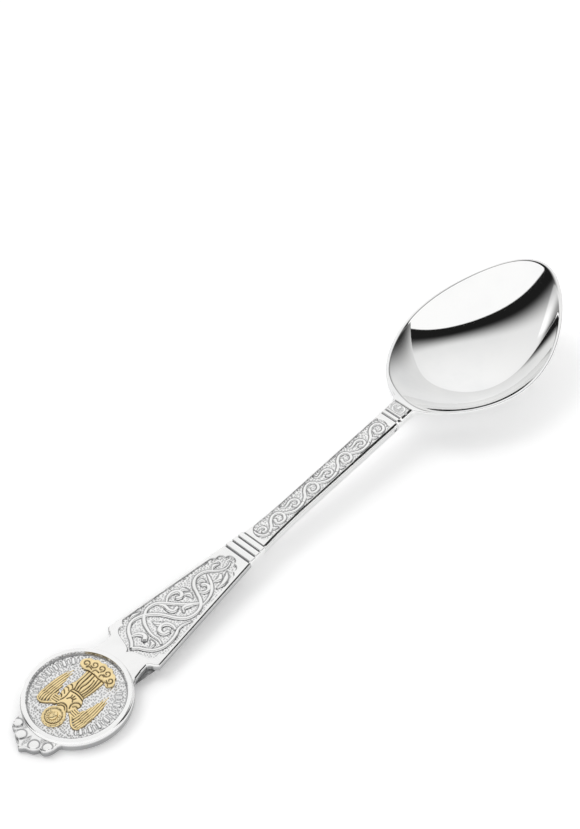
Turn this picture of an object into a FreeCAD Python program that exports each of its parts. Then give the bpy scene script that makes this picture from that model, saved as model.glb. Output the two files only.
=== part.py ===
import FreeCAD, Part
import math
import os

# Souvenir teaspoon, millimetres. x is first measured from the pointed end of the handle
# towards the bowl; everything is moved so that x = 0 is the middle before it is written.
V = FreeCAD.Vector

LENGTH = 140.0

# Bowl
BOWL_START = 98.1
BOWL_WIDTH = 29.5
BOWL_WALL = 0.85          # width of the flat rim
OUTER_DEPTH = 8.715       # puts the outside of the bowl on z = 0
INNER_DEPTH = 7.761
POINTED = 0.4             # makes both ends of the oval a little pointed
FULLNESS = 0.35           # steeper sides, flatter bottom
SOFT_ENDS = 0.5           # gentler slope at the neck and the tip

# Top of the handle along its length: five flat lengths
TOP_LINE = [(0.0, 1.55), (23.5, 2.95), (52.9, 4.8), (57.6, 5.1), (93.6, 8.1), (98.0, 8.6)]

# Medallion
MED_X = 13.6
MED_R = 9.9
MED_RECESS_R = 8.7
MED_RISE = 0.35           # rim above the handle's top
MED_GROUND = 0.25         # ground below the handle's top
MED_DROP = 1.75           # underside below the handle's top

# Plates
FINIAL_THICK = 1.45
PANEL_THICK = 1.6
STEM_THICK = 2.3
PANEL_RECESS = 0.4
STEM_RECESS = 0.35
EASE = 0.8                # rounding of the underside's long edges
PANEL_START = 27.2
PANEL_HALF = 6.45
COLLAR_START = 52.9
COLLAR_HALF = 3.35
STEM_START = 57.6
STEM_HALF = 2.45
NECK_START = 93.6
NECK_END = 98.0


def top_z(x):
    """Height of the handle's top at x."""
    for (xa, za), (xb, zb) in zip(TOP_LINE, TOP_LINE[1:]):
        if x <= xb:
            break
    return za + (zb - za) * (x - xa) / (xb - xa)


def band(x0, x1, upper, lower):
    """Everything between the handle's top plus upper and its top minus lower."""
    stops = [x0] + [x for x, z in TOP_LINE if x0 < x < x1] + [x1]
    if x0 < 0.0:
        stops = [x0] + [x for x in stops[1:] if x > 0.0]
    above = [V(x, -30, top_z(x) + upper) for x in stops]
    below = [V(x, -30, top_z(x) - lower) for x in reversed(stops)]
    wire = Part.makePolygon(above + below + [above[0]])
    return Part.Face(wire).extrude(V(0, 60, 0))


def column(wire):
    """A plan outline as a tall upright prism."""
    face = Part.Face(wire)
    face.translate(V(0, 0, -10))
    return face.extrude(V(0, 0, 40))


def disc(x, y, r):
    return Part.Wire(Part.Circle(V(x, y, 0), V(0, 0, 1), r).toShape())


def loop(points):
    """Smooth closed outline through the points."""
    curve = Part.BSplineCurve()
    curve.interpolate([V(x, y, 0) for x, y in points], True)
    return Part.Wire(curve.toShape())


def chain(runs):
    """Closed outline made of runs; a run of two points is straight, a longer one is smooth."""
    edges = []
    for run in runs:
        points = [V(x, y, 0) for x, y in run]
        if len(points) == 2:
            edges.append(Part.LineSegment(points[0], points[1]).toShape())
        else:
            curve = Part.BSplineCurve()
            curve.interpolate(points)
            edges.append(curve.toShape())
    return Part.Wire(edges)


def mirrored(runs):
    """A half outline above the x axis, closed by its own mirror image."""
    back = [[(x, -y) for x, y in reversed(run)] for run in reversed(runs)]
    return chain(runs + back)


def eased(solid, thick, radius):
    """Round the long lower edges of a plate."""
    edges = []
    for edge in solid.Edges:
        a, b = edge.Vertexes[0].Point, edge.Vertexes[-1].Point
        low = all(abs(p.z - top_z(p.x) + thick) < 0.02 for p in (a, b))
        if low and abs(a.x - b.x) > 0.3 and abs(a.y) > 1.0:
            edges.append(edge)
    return solid.makeFillet(radius, edges)


def stroke(points, width, start=1.0, end=1.0, count=16):
    """A flat ribbon along a smooth path, its width times start and end at its two ends."""
    curve = Part.BSplineCurve()
    curve.interpolate([V(x, y, 0) for x, y in points])
    left = []
    right = []
    first, last = curve.FirstParameter, curve.LastParameter
    for i in range(count):
        f = i / (count - 1)
        u = first + (last - first) * f
        p = curve.value(u)
        t = curve.tangent(u)[0]
        side = V(-t.y, t.x, 0)
        half = width / 2 * (start + (1 - start) * min(1.0, f * 3)) * (end + (1 - end) * min(1.0, (1 - f) * 3))
        left.append(p + side * half)
        right.append(p - side * half)
    a = Part.BSplineCurve()
    a.interpolate(left)
    b = Part.BSplineCurve()
    b.interpolate(list(reversed(right)))
    tip_out = curve.value(last) + curve.tangent(last)[0] * width * 0.5 * end
    tip_in = curve.value(first) - curve.tangent(first)[0] * width * 0.5 * start
    cap = Part.Arc(left[-1], tip_out, right[-1]).toShape()
    heel = Part.Arc(right[0], tip_in, left[0]).toShape()
    return Part.Wire([a.toShape(), cap, b.toShape(), heel])


def relief(wires, depth, height):
    """Raised work: flat shapes laid on the sloping ground at depth below the handle's top."""
    solids = [Part.Face(wire).extrude(V(0, 0, height)) for wire in wires]
    body = solids[0]
    if len(solids) > 1:
        body = body.fuse(solids[1:]).removeSplitter()
    middle = body.BoundBox.Center.x
    slope = math.atan((top_z(middle + 0.5) - top_z(middle - 0.5)))
    body.translate(V(-middle, 0, 0))
    body.rotate(V(0, 0, 0), V(0, 1, 0), -math.degrees(slope))
    body.translate(V(middle, 0, top_z(middle) - depth))
    return body


# ---------------------------------------------------------------- bowl

def rim_z(x):
    """Height of the rim: lowest near the handle, rising to the tip."""
    t = (x - BOWL_START) / (LENGTH - BOWL_START)
    return 8.95 - 4.93 * t + 7.13 * t ** 2 + 5.05 * t ** 3


def dish_z(x, y, inset, depth):
    """Height of the dished surface whose edge lies inset inside the outer oval."""
    half = (LENGTH - BOWL_START) / 2
    u = (x - BOWL_START - half) / (half - inset)
    v = y / (BOWL_WIDTH / 2 - inset)
    s = 1 - u * u - v * v * (1 + POINTED * u * u)
    ends = (1 + SOFT_ENDS * (1 - u * u)) / (1 + SOFT_ENDS)
    return rim_z(x) - depth * ends * s * (1 + FULLNESS * (1 - s))


def above_dish(inset, depth):
    """The space above a dished surface."""
    rows = []
    for i in range(27):
        x = BOWL_START - 1.6 + i * (LENGTH - BOWL_START + 3.2) / 26
        rows.append([V(x, -16.4 + j * 32.8 / 20, 0) for j in range(21)])
    rows = [[V(p.x, p.y, dish_z(p.x, p.y, inset, depth)) for p in row] for row in rows]
    surface = Part.BSplineSurface()
    surface.interpolate(rows)
    return surface.toShape().extrude(V(0, 0, 60))


def below_rim():
    """The space under the curved sheet in which the rim lies."""
    stations = [BOWL_START - 3 + i * (LENGTH - BOWL_START + 6) / 14 for i in range(15)]
    curve = Part.BSplineCurve()
    curve.interpolate([V(x, -25, rim_z(x)) for x in stations])
    a, b = curve.value(curve.FirstParameter), curve.value(curve.LastParameter)
    floor = [b, V(b.x, -25, -5), V(a.x, -25, -5), a]
    wire = Part.Wire([curve.toShape()] + Part.makePolygon(floor).Edges)
    return Part.Face(wire).extrude(V(0, 50, 0))


hollow = above_dish(BOWL_WALL, INNER_DEPTH)
shell = below_rim().common(above_dish(0.0, OUTER_DEPTH)).cut(hollow)

def section(x, half, top, bottom, r):
    """Cross-section of the neck: flat top, upright sides and a rounded underside."""
    k = r * (1 - math.sqrt(0.5))
    corners = [V(x, half, top), V(x, half, bottom + r), V(x, half - r, bottom),
               V(x, r - half, bottom), V(x, -half, bottom + r), V(x, -half, top)]
    right = Part.Arc(corners[1], V(x, half - k, bottom + k), corners[2]).toShape()
    left = Part.Arc(corners[3], V(x, k - half, bottom + k), corners[4]).toShape()
    return Part.Wire([
        Part.LineSegment(corners[0], corners[1]).toShape(),
        right,
        Part.LineSegment(corners[2], corners[3]).toShape(),
        left,
        Part.LineSegment(corners[4], corners[5]).toShape(),
        Part.LineSegment(corners[5], corners[0]).toShape(),
    ])


# Shoulder that carries the neck into the underside of the bowl
shoulder = Part.makeLoft([
    section(NECK_END, STEM_HALF, 8.6, 8.6 - STEM_THICK, EASE),
    section(99.5, 2.8, 8.77, 5.95, 1.1),
    section(101.5, 3.3, 8.57, 5.15, 1.6),
    section(103.5, 2.9, 8.4, 4.2, 2.0),
    section(105.8, 1.9, 8.3, 3.25, 1.5),
], True, False)
bowl = shell.fuse(shoulder.cut(hollow)).removeSplitter()

# ---------------------------------------------------------------- pointed end of the handle

finial_plan = mirrored([
    [(0.0, 0.0), (0.75, 0.95)],
    [(0.75, 0.95), (1.05, 1.75), (1.45, 2.55), (2.2, 3.0)],
    [(2.2, 3.0), (2.15, 3.75), (2.7, 4.4), (3.7, 4.85), (4.7, 5.0)],
    [(4.7, 5.0), (5.3, 5.35), (6.2, 6.4)],
    [(6.2, 6.4), (9.0, 6.4)],
    [(9.0, 6.4), (9.0, 0.0)],
])
med_column = column(disc(MED_X, 0, MED_R))
finial = column(finial_plan).common(band(-1, 12, 0.0, FINIAL_THICK)).cut(med_column)
leaf = chain([
    [(0.75, 0.0), (1.5, 0.42), (2.4, 0.4), (3.1, 0.0)],
    [(3.1, 0.0), (2.4, -0.4), (1.5, -0.42), (0.75, 0.0)],
])
finial = finial.cut(column(leaf).common(band(-1, 12, 2.0, -0.0).fuse(band(-1, 12, 0.0, 0.3))))


def ring(x, y, r, width):
    outer = Part.Face(disc(x, y, r))
    return outer.cut(Part.Face(disc(x, y, r - width)))


def rings(items, depth, height):
    bodies = []
    for x, y, r, width in items:
        for s in (1, -1):
            body = ring(x, s * y, r, width).extrude(V(0, 0, height))
            slope = math.atan(top_z(x + 0.5) - top_z(x - 0.5))
            body.translate(V(-x, 0, 0))
            body.rotate(V(0, 0, 0), V(0, 1, 0), -math.degrees(slope))
            body.translate(V(x, 0, top_z(x) - depth))
            bodies.append(body)
    return Part.makeCompound(bodies)


finial_scrolls = rings([(2.0, 1.52, 0.82, 0.3), (3.3, 3.6, 0.72, 0.28)], 0.0, 0.22)

# ---------------------------------------------------------------- medallion

medallion = med_column.common(band(-1, 30, MED_RISE, MED_DROP))
dip = column(disc(MED_X, 0, MED_RECESS_R)).common(band(-1, 30, 3.0, MED_GROUND))
medallion = medallion.cut(dip)

bars = []
for centre in (90.0, 270.0):
    for i in range(-7, 8):
        a = math.radians(centre + i * 6.4)
        out = V(math.cos(a), math.sin(a), 0)
        across = V(-out.y, out.x, 0) * (0.2 if i % 2 else 0.3)
        origin = V(MED_X, 0, 0)
        inner, outer = 6.55, 7.95
        corners = [origin + out * inner - across, origin + out * outer - across,
                   origin + out * outer + across, origin + out * inner + across]
        bars.append(Part.makePolygon(corners + [corners[0]]))
medallion_bars = relief(bars, MED_GROUND, 0.32)

halo = relief([disc(8.15, 0.0, 2.1)], MED_GROUND, 0.3)
head_wire = loop([(7.05, 0.0), (7.3, 0.75), (8.1, 1.0), (8.95, 0.8), (9.35, 0.0),
                  (8.95, -0.8), (8.1, -1.0), (7.3, -0.75)])
head = relief([head_wire], MED_GROUND - 0.3, 0.45)

robe_runs = [
    [(10.35, 0.45), (10.5, 1.5), (11.6, 2.15), (13.2, 2.3), (15.5, 2.3), (18.3, 2.4)],
    [(18.3, 2.4), (18.45, 0.6), (18.3, -1.9)],
    [(18.3, -1.9), (15.5, -1.55), (13.6, -1.5), (12.4, -1.95), (11.2, -1.7), (10.45, -1.1), (10.35, -0.45)],
    [(10.35, -0.45), (10.35, 0.45)],
]
robe = relief([chain(robe_runs)], MED_GROUND, 0.55)

wing_wire = loop([(10.6, 2.5), (9.5, 2.95), (8.75, 3.7), (8.9, 4.75), (9.8, 5.35), (11.4, 5.35), (13.2, 5.2),
                  (15.2, 4.95), (17.3, 4.25), (16.6, 3.75), (15.0, 3.45), (13.6, 3.35), (12.2, 2.85)])
wing_left = relief([wing_wire], MED_GROUND, 0.45)
wing_right = wing_left.mirror(V(0, 0, 0), V(0, 1, 0))

cloud_wire = loop([(18.75, 0.0), (18.65, 1.6), (18.3, 2.9), (18.1, 3.7), (18.7, 4.2), (19.5, 4.0), (20.1, 3.3),
                   (20.7, 2.3), (21.0, 1.2), (21.1, 0.0), (21.0, -1.2), (20.7, -2.2), (20.2, -3.0),
                   (19.4, -3.5), (18.4, -3.6), (18.3, -2.9), (18.65, -1.6)])
cloud = relief([cloud_wire], MED_GROUND, 0.45)

# ---------------------------------------------------------------- panel of the handle

panel_plan = mirrored([
    [(15.0, 0.0), (15.0, 5.9)],
    [(15.0, 5.9), (21.6, 5.9)],
    [(21.6, 5.9), (22.6, 5.2), (24.2, 4.85), (25.8, 4.7)],
    [(25.8, 4.7), (26.35, 5.1), (26.75, 5.9), (PANEL_START, PANEL_HALF)],
    [(PANEL_START, PANEL_HALF), (COLLAR_START, COLLAR_HALF)],
    [(COLLAR_START, COLLAR_HALF), (COLLAR_START, 0.0)],
])
panel = eased(column(panel_plan).common(band(14, COLLAR_START, 0.0, PANEL_THICK)), PANEL_THICK, 0.5)
panel = panel.cut(med_column)
panel_field = mirrored([
    [(25.5, 0.0), (26.2, 0.65), (26.75, 2.3), (27.3, 3.9), (28.15, 4.45), (28.9, 4.35)],
    [(28.9, 4.35), (29.2, 4.95), (29.8, 5.3)],
    [(29.8, 5.3), (48.7, 3.0)],
    [(48.7, 3.0), (49.5, 2.7), (50.1, 2.15)],
    [(50.1, 2.15), (50.9, 2.0), (51.2, 1.2)],
    [(51.2, 1.2), (51.9, 0.8), (52.1, 0.0)],
])
panel = panel.cut(column(panel_field).common(band(24, COLLAR_START, 2.0, PANEL_RECESS)))

vine_paths = [
    [(27.0, 0.0), (27.9, 1.5), (29.0, 3.1), (30.6, 3.95), (32.2, 3.6), (33.8, 2.4), (35.2, 0.6), (36.3, -1.3),
     (37.7, -2.8), (39.5, -3.2), (41.2, -2.6), (42.3, -1.0), (43.1, 0.9), (44.5, 2.1), (46.2, 1.9), (47.7, 0.8),
     (49.1, -0.3), (50.6, -0.2)],
    [(27.0, 0.0), (27.9, -1.5), (29.0, -3.1), (30.7, -3.9), (32.8, -3.9), (34.6, -3.3), (36.0, -3.4)],
    [(30.2, -2.5), (31.1, -1.0), (31.5, 0.9), (32.6, 2.8), (34.4, 3.9), (36.2, 3.5), (37.7, 1.9), (39.1, -0.1),
     (40.4, -1.6)],
    [(41.6, -2.2), (43.6, -2.6), (45.2, -1.8), (46.1, -0.3), (46.7, 0.9)],
    [(43.0, -0.9), (44.4, -1.5), (45.1, -0.6), (44.6, 0.4), (43.9, 0.1)],
    [(34.2, -2.4), (33.9, -0.9), (32.8, -0.7), (32.3, -1.6), (32.9, -2.2)],
    [(33.3, 1.2), (33.4, 0.2), (34.3, -0.2)],
    [(29.0, 1.4), (29.8, 0.4), (29.5, -0.9), (28.6, -0.6)],
    [(37.6, 3.0), (39.2, 3.1), (40.4, 2.4), (40.0, 1.3), (39.2, 1.6)],
    [(36.9, 1.3), (36.7, 0.1), (37.6, -0.4), (38.2, 0.3)],
    [(41.0, 1.7), (41.7, 0.9), (41.2, -0.1)],
    [(46.1, -2.4), (47.4, -1.9), (47.9, -0.9), (47.2, -0.2)],
    [(47.0, -2.3), (48.5, -2.1), (49.3, -1.4)],
]
panel_vine = relief([stroke(path, 0.6, 0.7, 0.5) for path in vine_paths], PANEL_RECESS, 0.36)

# ---------------------------------------------------------------- middle collar

collar_plan = mirrored([
    [(COLLAR_START, 0.0), (COLLAR_START, 3.15)],
    [(COLLAR_START, 3.15), (STEM_START, 2.7)],
    [(STEM_START, 2.7), (STEM_START, 0.0)],
])
mid_collar = column(collar_plan).common(band(50, 60, -0.15, PANEL_THICK))
for x0, x1, half in ((53.35, 54.5, 3.35), (54.85, 55.85, 3.2), (56.2, 57.1, 3.05)):
    ridge_plan = chain([
        [(x0, -half), (x1, -half)],
        [(x1, -half), (x1, half)],
        [(x1, half), (x0, half)],
        [(x0, half), (x0, -half)],
    ])
    mid_collar = mid_collar.fuse(column(ridge_plan).common(band(50, 60, 0.15, PANEL_THICK + 0.1)))
mid_collar = mid_collar.removeSplitter()

# ---------------------------------------------------------------- stem

stem_plan = mirrored([
    [(STEM_START, 0.0), (STEM_START, 2.85)],
    [(STEM_START, 2.85), (61.0, 2.65), (67.0, STEM_HALF)],
    [(67.0, STEM_HALF), (NECK_START, STEM_HALF)],
    [(NECK_START, STEM_HALF), (NECK_START, 0.0)],
])
stem = eased(column(stem_plan).common(band(55, 95, 0.0, STEM_THICK)), STEM_THICK, EASE)
stem_field = mirrored([
    [(58.3, 0.0), (58.55, 1.1), (59.6, 1.95)],
    [(59.6, 1.95), (67.0, 1.8)],
    [(67.0, 1.8), (91.4, 1.8)],
    [(91.4, 1.8), (92.55, 1.1), (92.9, 0.0)],
])
stem = stem.cut(column(stem_field).common(band(55, 95, 2.0, STEM_RECESS)))

scroll_paths = [[(58.9, -0.6), (59.2, 0.5), (60.3, 0.6), (60.4, -0.3), (59.8, -0.3)]]
for i in range(4):
    x = 63.5 + 9.0 * i
    scroll_paths.append([(x - 4.2, -0.9), (x - 3.0, -0.75), (x - 1.9, 0.15), (x - 0.8, 1.05), (x + 0.6, 1.1),
                         (x + 1.5, 0.2), (x + 1.1, -0.85), (x, -1.15), (x - 0.8, -0.55), (x - 0.5, 0.2),
                         (x + 0.3, 0.2)])
    if i < 3:
        scroll_paths.append([(x + 1.7, 0.3), (x + 2.6, -0.7), (x + 3.8, -1.15), (x + 5.0, -0.9)])
        scroll_paths.append([(x + 2.4, 1.25), (x + 3.7, 1.2), (x + 5.2, 0.9), (x + 5.5, 0.0), (x + 4.6, -0.4),
                             (x + 4.0, 0.15)])
stem_scroll = relief([stroke(path, 0.46, 0.7, 0.7) for path in scroll_paths], STEM_RECESS, 0.3)

# ---------------------------------------------------------------- neck

neck_plan = mirrored([
    [(NECK_START, 0.0), (NECK_START, STEM_HALF)],
    [(NECK_START, STEM_HALF), (NECK_END, STEM_HALF)],
    [(NECK_END, STEM_HALF), (NECK_END, 0.0)],
])
neck = eased(column(neck_plan).common(band(90, 98.0, 0.0, STEM_THICK)), STEM_THICK, EASE)
for x in (94.15, 95.2):
    slot = Part.makeBox(0.28, 10, 3, V(x - 0.14, -5, top_z(x) - 0.25))
    neck = neck.cut(slot)
neck_eye = relief([
    stroke([(95.7, 0.0), (96.4, 1.15), (97.5, 1.25)], 0.42, 0.6, 0.6),
    stroke([(95.7, 0.0), (96.4, -1.15), (97.5, -1.25)], 0.42, 0.6, 0.6),
    disc(96.9, 0.0, 0.5),
], 0.0, 0.25)

nodes = {
    "bowl": bowl,
    "neck_collar": neck,
    "neck_bud": neck_eye,
    "stem": stem,
    "stem_scroll": stem_scroll,
    "mid_collar": mid_collar,
    "panel": panel,
    "panel_vine": panel_vine,
    "medallion_disc": medallion,
    "medallion_bars": medallion_bars,
    "angel_halo": halo,
    "angel_head": head,
    "angel_robe": robe,
    "angel_wing_left": wing_left,
    "angel_wing_right": wing_right,
    "cloud_bank": cloud,
    "finial": finial,
    "finial_scrolls": finial_scrolls,
}

os.makedirs("parts", exist_ok=True)
for name, shape in nodes.items():
    shape.translate(V(-LENGTH / 2, 0, 0))
    shape.exportStep("parts/" + name + ".step")
    b = shape.BoundBox
    print(name, shape.ShapeType, len(shape.Solids), shape.isValid(), round(shape.Volume, 2),
          [round(v, 2) for v in (b.XMin, b.XMax, b.YMin, b.YMax, b.ZMin, b.ZMax)])
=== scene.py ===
import math

import bpy
import numpy as np
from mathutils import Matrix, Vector


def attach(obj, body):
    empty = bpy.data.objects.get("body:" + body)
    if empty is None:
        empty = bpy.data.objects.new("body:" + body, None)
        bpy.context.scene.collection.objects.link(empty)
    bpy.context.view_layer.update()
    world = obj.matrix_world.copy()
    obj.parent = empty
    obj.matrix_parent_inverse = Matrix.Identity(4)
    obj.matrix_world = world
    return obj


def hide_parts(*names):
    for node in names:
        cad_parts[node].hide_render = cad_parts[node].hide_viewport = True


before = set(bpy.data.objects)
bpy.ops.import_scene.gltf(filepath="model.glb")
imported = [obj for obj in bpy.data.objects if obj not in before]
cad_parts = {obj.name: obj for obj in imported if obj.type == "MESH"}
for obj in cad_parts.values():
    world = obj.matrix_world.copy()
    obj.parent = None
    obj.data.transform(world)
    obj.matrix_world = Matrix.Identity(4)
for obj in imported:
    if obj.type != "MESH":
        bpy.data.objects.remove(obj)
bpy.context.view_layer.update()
MM = 0.001
HALF_LENGTH = 70.0

# ------------------------------------------------------------------ stem
# A slim cast and chased bar. Its flat top carries a long sunk panel with rounded ends, its ground
# punched all over with a fine matting tool; sides and border are polished.


class Shade:
    """A shader socket that takes part in sums."""

    tree = None

    def __init__(self, socket):
        self.socket = socket

    @classmethod
    def node(cls, kind, settings=None, out=0, **inputs):
        made = cls.tree.nodes.new(kind)
        for key, value in (settings or {}).items():
            setattr(made, key, value)
        for key, value in inputs.items():
            slot = made.inputs[int(key[1:])] if key[0] == "i" and key[1:].isdigit() else made.inputs[key]
            if isinstance(value, Shade):
                cls.tree.links.new(value.socket, slot)
            else:
                slot.default_value = value
        return Shade(made.outputs[out])

    def math(self, operation, other=0.0, clamp=False):
        return Shade.node("ShaderNodeMath", {"operation": operation, "use_clamp": clamp}, i0=self, i1=other)

    def __add__(self, other):
        return self.math("ADD", other)

    __radd__ = __add__

    def __mul__(self, other):
        return self.math("MULTIPLY", other)

    __rmul__ = __mul__

    def __sub__(self, other):
        return self.math("SUBTRACT", other)

    def __rsub__(self, other):
        return (self * -1.0).math("ADD", other)

    def step(self, low, high):
        """0 below low, 1 above high, eased between."""
        return Shade.node("ShaderNodeMapRange", {"interpolation_type": "SMOOTHSTEP"}, i0=self, i1=low, i2=high)

    def blend(self, low, high):
        """The colour low where this is 0 and high where it is 1."""
        return Shade.node("ShaderNodeMix", {"data_type": "RGBA"}, out=2, i0=self, i6=low, i7=high)


def new_material(name):
    made = bpy.data.materials.new(name)
    made.use_nodes = True
    made.node_tree.nodes.clear()
    Shade.tree = made.node_tree
    return made


def finish_metal(colour, rough, bump, strength, distance):
    """Closes a metal: colour and roughness vary, the rest is constant."""
    tree = Shade.tree
    normal = Shade.node("ShaderNodeBump", Strength=strength, Distance=distance, Height=bump)
    shader = tree.nodes.new("ShaderNodeBsdfPrincipled")
    shader.inputs["Metallic"].default_value = 1.0
    for key, value in (("Base Color", colour), ("Roughness", rough), ("Normal", normal)):
        tree.links.new(value.socket, shader.inputs[key])
    out = tree.nodes.new("ShaderNodeOutputMaterial")
    tree.links.new(shader.outputs[0], out.inputs["Surface"])


def noise(scale, detail=3.0, stretch=(1.0, 1.0, 1.0)):
    place = Shade.node("ShaderNodeTexCoord", out=3)
    place = Shade.node("ShaderNodeMapping", {"vector_type": "POINT"}, Vector=place, Scale=stretch)
    return Shade.node("ShaderNodeTexNoise", Vector=place, Scale=scale, Detail=detail)


def polished_silver(name, bright=(0.93, 0.93, 0.925, 1.0), dull=(0.86, 0.865, 0.87, 1.0), rough=0.045):
    """Buffed silver: faint hairlines along the spoon, a trace of handling haze."""
    made = new_material(name)
    haze = noise(90.0, 4.0)
    hairline = noise(900.0, 2.0, (0.06, 1.0, 1.0))
    colour = haze.step(0.35, 0.75).blend(bright, dull)
    finish_metal(colour, haze.step(0.4, 0.8) * 0.05 + rough, hairline + haze * 0.3, 0.02, 0.00005)
    return made


def chased_silver(name):
    """Silver with painted shade: the stored shade darkens and roughens hollows, steep slopes and lower sides."""
    made = new_material(name)
    depth = Shade.node("ShaderNodeAttribute", {"attribute_name": "sunk_shade"}, out=2)
    grain = noise(2600.0, 2.0)
    haze = noise(140.0, 3.0)
    tone = (depth + haze.step(0.4, 0.7) * 0.06).math("MINIMUM", 1.0)
    # The near-black end is painted shade in hollows, on steep slopes and down the sides; the haze adds a little
    # handling haze.
    colour = tone.blend((0.94, 0.94, 0.935, 1.0), (0.20, 0.203, 0.21, 1.0))
    finish_metal(colour, depth * 0.18 + haze * 0.05 + 0.06, grain, 0.12, 0.00003)
    return made


def deselect():
    if bpy.context.object and bpy.context.object.mode != "OBJECT":
        bpy.ops.object.mode_set(mode="OBJECT")
    bpy.ops.object.select_all(action="DESELECT")


TOP_LINE = ((0.0, 1.55), (23.5, 2.95), (52.9, 4.8), (57.6, 5.1), (93.6, 8.1), (98.0, 8.6))


def top_z(x):
    """Height of the handle's plain top at x, both in millimetres, x from the pointed end."""
    return np.interp(x, [p[0] for p in TOP_LINE], [p[1] for p in TOP_LINE])


def smooth(t):
    t = np.clip(t, 0.0, 1.0)
    return t * t * (3.0 - 2.0 * t)


def stipple(x, y, pitch=0.46):
    """Scattered round punch marks, 0 in a mark's middle to 1 between marks."""
    near = np.full(np.shape(x), 9.0)
    gx, gy = np.floor(x / pitch), np.floor(y / pitch)
    for ox in (-1, 0, 1):
        for oy in (-1, 0, 1):
            cx, cy = gx + ox, gy + oy
            h = np.sin(cx * 127.1 + cy * 311.7) * 43758.5453
            k = np.sin(cx * 269.5 + cy * 183.3) * 43758.5453
            px, py = (cx + 0.15 + 0.7 * (h - np.floor(h))) * pitch, (cy + 0.15 + 0.7 * (k - np.floor(k))) * pitch
            near = np.minimum(near, np.hypot(x - px, y - py))
    return smooth(near / (pitch * 0.52))


def inside_distance(x, y, outline):
    """Distance to a closed outline, positive inside it."""
    pts = np.array(outline, float)
    nxt = np.roll(pts, -1, axis=0)
    best = np.full(np.shape(x), 1e9)
    inside = np.zeros(np.shape(x), bool)
    for (ax, ay), (bx, by) in zip(pts, nxt):
        dx, dy = bx - ax, by - ay
        t = np.clip(((x - ax) * dx + (y - ay) * dy) / max(dx * dx + dy * dy, 1e-12), 0.0, 1.0)
        best = np.minimum(best, np.hypot(x - ax - t * dx, y - ay - t * dy))
        if ay != by:
            inside ^= ((ay > y) != (by > y)) & (x < (bx - ax) * (y - ay) / (by - ay) + ax)
    return np.where(inside, best, -best)


def through(points, steps=8, closed=False):
    """A smooth line through the points."""
    p = np.array(points, float)
    n = len(p)
    made = []
    for i in range(n if closed else n - 1):
        a, b, c, d = (p[(i + k) % n] if closed else p[min(max(i + k, 0), n - 1)] for k in (-1, 0, 1, 2))
        for t in np.arange(steps) / steps:
            made.append(0.5 * (2 * b + (c - a) * t + (2 * a - 5 * b + 4 * c - d) * t ** 2
                               + (3 * b - a - 3 * c + d) * t ** 3))
    if not closed:
        made.append(p[-1])
    return [tuple(q) for q in made]


def both_sides(half):
    """Closes a half outline, drawn from left to right above the x axis, by its mirror image."""
    return list(reversed(half)) + [(x, -y) for x, y in half if abs(y) > 1e-9]


def add_grid(name, columns, rows):
    """A flat grid and its vertices' columns and rows."""
    deselect()
    bpy.ops.mesh.primitive_grid_add(x_subdivisions=columns, y_subdivisions=rows, size=2)
    obj = bpy.context.object
    obj.name = obj.data.name = name
    co = read_points(obj)
    return obj, co[:, 0], co[:, 1]


def read_points(obj):
    co = np.zeros(len(obj.data.vertices) * 3)
    obj.data.vertices.foreach_get("co", co)
    return co.reshape(-1, 3)


def write_points(obj, co):
    obj.data.vertices.foreach_set("co", np.asarray(co, float).ravel())
    obj.data.update()


def rim_loop(obj):
    """The open edge's vertices in order, anticlockwise from above."""
    count = {}
    for face in obj.data.polygons:
        for key in face.edge_keys:
            count[key] = count.get(key, 0) + 1
    beside = {}
    for (a, b), n in count.items():
        if n == 1:
            beside.setdefault(a, []).append(b)
            beside.setdefault(b, []).append(a)
    first = min(beside)
    loop = [first, beside[first][0]]
    while True:
        a, b = beside[loop[-1]]
        step = b if a == loop[-2] else a
        if step == first:
            break
        loop.append(step)
    co = read_points(obj)[loop]
    area = np.sum(co[:, 0] * np.roll(co[:, 1], -1) - np.roll(co[:, 0], -1) * co[:, 1])
    return loop if area > 0 else loop[::-1]


def outward(points):
    """Outward direction at each point of an anticlockwise loop, longer at corners."""
    p = points[:, :2]
    a = p - np.roll(p, 1, axis=0)
    b = np.roll(p, -1, axis=0) - p
    a /= np.maximum(np.linalg.norm(a, axis=1), 1e-9)[:, None]
    b /= np.maximum(np.linalg.norm(b, axis=1), 1e-9)[:, None]
    na, nb = np.c_[a[:, 1], -a[:, 0]], np.c_[b[:, 1], -b[:, 0]]
    n = na + nb
    n /= np.maximum(np.linalg.norm(n, axis=1), 1e-9)[:, None]
    return n / np.clip((n * na).sum(1), 0.6, 1.0)[:, None]


def wrap_down(obj, rings, close=True):
    """Extrudes the open edge through rings of (outward distance, height at the edge's points)."""
    loop = rim_loop(obj)
    start = read_points(obj)[loop]
    away = outward(start)
    for out, height in rings:
        before = len(obj.data.vertices)
        now = read_points(obj)[loop]
        where = {tuple(np.round(p, 7)): i for i, p in enumerate(now)}
        bpy.ops.object.mode_set(mode="EDIT")
        bpy.ops.mesh.select_mode(type="EDGE")
        bpy.ops.mesh.select_all(action="DESELECT")
        bpy.ops.mesh.select_non_manifold(extend=False, use_wire=False, use_multi_face=False,
                                         use_non_contiguous=False, use_verts=False)
        bpy.ops.mesh.extrude_region_move()
        bpy.ops.object.mode_set(mode="OBJECT")
        co = read_points(obj)
        fresh = [0] * len(loop)
        for i in range(before, len(co)):
            fresh[where[tuple(np.round(co[i], 7))]] = i
        loop = fresh
        xy = start[:, :2] + away * out
        co[loop] = np.c_[xy, height(xy[:, 0], xy[:, 1])]
        write_points(obj, co)
    if close:
        bpy.ops.object.mode_set(mode="EDIT")
        bpy.ops.mesh.select_mode(type="EDGE")
        bpy.ops.mesh.select_all(action="DESELECT")
        bpy.ops.mesh.select_non_manifold(extend=False, use_wire=False, use_multi_face=False,
                                         use_non_contiguous=False, use_verts=False)
        bpy.ops.mesh.edge_face_add()
        bpy.ops.object.mode_set(mode="OBJECT")
    return loop


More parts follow.
